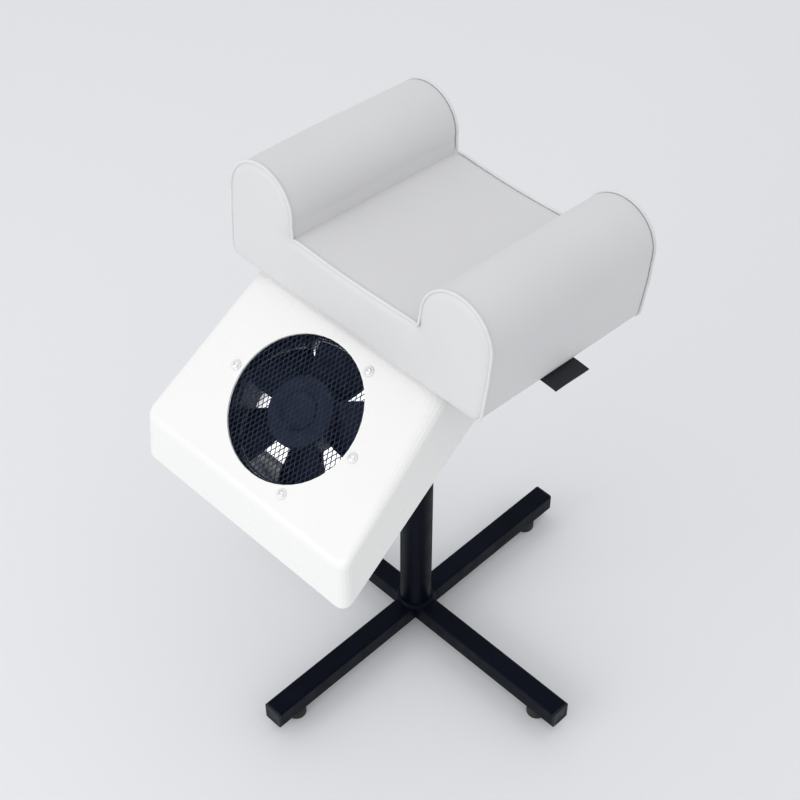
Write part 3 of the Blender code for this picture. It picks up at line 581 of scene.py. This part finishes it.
def make_label(finishes):
    """Folded woven tag sewn into the seam under the right bolster."""
    into = CUSHION.inverted()
    corners = [into @ vertex.co for vertex in NODES["cushion_label"].data.vertices]
    start_x, end_x = min(c.x for c in corners), max(c.x for c in corners)
    start_y, end_y = min(c.y for c in corners), max(c.y for c in corners)
    shape = bmesh.new()
    loops = []
    columns, rows = 24, 14
    for side in (1, -1):
        for i in (range(columns + 1) if side > 0 else range(columns, -1, -1)):
            share = i / columns
            x = start_x + (end_x - start_x) * share
            curl = 1.6 * MM * max(0, share - 0.45) ** 2 / 0.3
            half = 0.5 * MM if share < 0.97 else 0.62 * MM
            loop = []
            for j in range(rows + 1):
                y = start_y + (end_y - start_y) * j / rows
                wave = 0.35 * MM * share * math.sin(j / rows * 5.2)
                loop.append(Vector((x, y, -0.85 * MM - curl + wave + side * half)))
            loops.append(loop)
    grid = [[shape.verts.new(point) for point in loop] for loop in loops]
    count = len(grid)
    for i in range(count):
        for j in range(rows):
            a, b = grid[i], grid[(i + 1) % count]
            shape.faces.new((a[j], a[j + 1], b[j + 1], b[j]))
    half_count = columns + 1
    for j in (0, rows):
        for i in range(columns):
            opposite = count - 1 - i
            shape.faces.new((grid[i][j], grid[i + 1][j], grid[opposite - 1][j], grid[opposite][j]))
    make_piece("woven_label", shape, finishes["black_woven"], CUSHION, "head",
               ("cushion_label",))


# ---------------------------------------------------------------- fan, grille and screws

GRILLE_TOP = -2.8 * MM
GRILLE_BOTTOM = -4.0 * MM
FLANGE_RADIUS = 89.5 * MM
OPENING_RADIUS = 76.9 * MM
BARREL_RADIUS = 75.5 * MM
HUB_RADIUS = 38 * MM
MESH_SIDE = 6.0 * MM
MESH_LEAN = math.radians(27.5)
WIRE_HALF = 0.55 * MM


def make_grille(finishes):
    """Expanded mesh: two crossed sets of slanting bars, welded into a flat rim."""
    shape = bmesh.new()
    reach = OPENING_RADIUS + 1.5 * MM
    pitch = MESH_SIDE * math.sin(2 * MESH_LEAN)
    count = int(reach / pitch) + 1
    for lean in (-MESH_LEAN, MESH_LEAN):
        along = Vector((math.sin(lean), math.cos(lean)))
        across = Vector((along.y, -along.x))
        lift = 0.15 * MM if lean > 0 else -0.15 * MM
        for i in range(-count, count + 1):
            offset = i * pitch
            if abs(offset) >= reach:
                continue
            half = math.sqrt(reach ** 2 - offset ** 2)
            middle = across * offset
            bar(shape, middle - along * half, middle + along * half, WIRE_HALF,
                GRILLE_BOTTOM + 0.2 * MM + lift, GRILLE_TOP - 0.2 * MM + lift)
    rim = OPENING_RADIUS + 0.6 * MM
    turned(shape, [(rim, GRILLE_TOP), (FLANGE_RADIUS, GRILLE_TOP), (FLANGE_RADIUS, GRILLE_BOTTOM),
                   (rim, GRILLE_BOTTOM)], 96, cyclic=True)
    make_piece("mesh_grille", shape, finishes["black_wire"], FACE, "head", ("grille",))


def make_fan_frame(finishes):
    """Barrel with a bell mouth and a second lip, its flange, and four struts to the motor plate."""
    front = -4.3 * MM
    back = -48 * MM
    shape = bmesh.new()
    bell = [(BARREL_RADIUS + 4.5 * MM, front)]
    bell += [(BARREL_RADIUS + 4.5 * MM * (1 - math.sin(a)), front - 5 * MM * (1 - math.cos(a)) - 0.2 * MM)
             for a in [math.pi / 2 * i / 6 for i in range(1, 7)]]
    profile = [(FLANGE_RADIUS, front), *bell, (BARREL_RADIUS, front - 11 * MM),
               (BARREL_RADIUS - 1.1 * MM, front - 12 * MM), (BARREL_RADIUS - 1.1 * MM, back),
               (79 * MM, back), (79 * MM, front - 5 * MM), (FLANGE_RADIUS, front - 5 * MM)]
    turned(shape, profile, 96, cyclic=True)
    can = 31 * MM
    low, high = back + 0.6 * MM, back + 4.4 * MM
    turned(shape, [(0, low), (can, low), (can, high), (0, high)], 48)
    for quarter in range(4):
        turn = math.radians(45 + 90 * quarter)
        arm = Vector((math.cos(turn), math.sin(turn)))
        side = Vector((-arm.y, arm.x)) * 3.5 * MM
        loops = []
        for radius in (can - 2 * MM, 76 * MM):
            middle = arm * radius
            loops.append([Vector((*(middle + side), low)), Vector((*(middle - side), low)),
                          Vector((*(middle - side * 0.7), high)), Vector((*(middle + side * 0.7), high))])
        skin(shape, loops)
    make_piece("fan_barrel", shape, finishes["black_fan_plastic"], FACE, "head",
               ("fan_frame",), sharp=35)


def make_rotor(finishes):
    shape = bmesh.new()
    hub = [(0, -9.4 * MM), (17.6 * MM, -9.4 * MM), (18.2 * MM, -9.0 * MM), (18.8 * MM, -9.0 * MM),
           (19.4 * MM, -10.6 * MM), (20.2 * MM, -10.6 * MM), (20.8 * MM, -10.0 * MM), (34.4 * MM, -10.0 * MM)]
    hub += [(34.4 * MM + 3.6 * MM * math.sin(a), -13.6 * MM + 3.6 * MM * math.cos(a))
            for a in [math.pi / 2 * i / 5 for i in range(1, 6)]]
    hub += [(HUB_RADIUS, -40 * MM), (30.5 * MM, -40 * MM), (30.5 * MM, -15 * MM), (0, -15 * MM)]
    turned(shape, hub, 72)
    make_piece("fan_hub", shape, finishes["hub"], FACE, "fan", ("fan_rotor",), sharp=35)
    shape = bmesh.new()
    blades = 5
    root_span, tip_span = math.radians(64), math.radians(51)
    root, tip = HUB_RADIUS - 1 * MM, BARREL_RADIUS - 2.0 * MM
    stations, across = 8, 10
    for blade in range(blades):
        start = 2 * math.pi * blade / blades - math.radians(18)
        loops = []
        for i in range(stations + 1):
            share = i / stations
            radius = root + (tip - root) * share
            lead = start + math.radians(7) * share
            span = root_span + (tip_span - root_span) * share
            top, under = [], []
            for j in range(across + 1):
                chord = j / across
                angle = lead + span * chord
                height = -36 * MM + 22 * MM * chord + 3 * MM * math.sin(math.pi * chord)
                thick = (0.5 + 1.3 * math.sin(math.pi * min(1, chord + 0.12))) * MM
                here = Vector((radius * math.cos(angle), radius * math.sin(angle), height))
                top.append(here)
                under.append(here - Vector((0, 0, max(0.4 * MM, thick))))
            loops.append(top + list(reversed(under)))
        skin(shape, loops)
    make_piece("fan_blades", shape, finishes["black_fan_plastic"], FACE, "fan", sharp=35)


def make_screws(finishes):
    """Pan heads on washers, each with a round recess."""
    for number in range(1, 5):
        node = f"grille_screw_{number}"
        into = FACE.inverted()
        tops = [into @ vertex.co for vertex in NODES[node].data.vertices]
        peak = max(top.z for top in tops)
        crown = [top for top in tops if top.z > peak - 0.2 * MM]
        middle = (sum(top.x for top in crown) / len(crown), sum(top.y for top in crown) / len(crown))
        shape = bmesh.new()
        seat = 0.3 * MM
        profile = [(0, -10 * MM), (2 * MM, -10 * MM), (2 * MM, seat),
                   (5.5 * MM, seat), (5.5 * MM, seat + 0.5 * MM),
                   (5.2 * MM, seat + 0.8 * MM), (4.1 * MM, seat + 0.8 * MM), (4.05 * MM, seat + 1.2 * MM),
                   (3.9 * MM, seat + 1.7 * MM), (3.4 * MM, seat + 2.4 * MM), (2.6 * MM, seat + 2.9 * MM),
                   (1.75 * MM, seat + 3.1 * MM), (1.55 * MM, seat + 2.6 * MM), (1.3 * MM, seat + 1.2 * MM),
                   (0, seat + 0.9 * MM)]
        turned(shape, profile, 32, middle)
        make_piece(f"pan_screw_{number}", shape, finishes["screw"], FACE, "head", (node,))


# ---------------------------------------------------------------- build

add_camera()
add_studio()
finish_of = make_finishes()
dress_frame(finish_of)
make_upholstery(finish_of)
make_underside(finish_of)
make_label(finish_of)
make_grille(finish_of)
make_fan_frame(finish_of)
make_rotor(finish_of)
make_screws(finish_of)
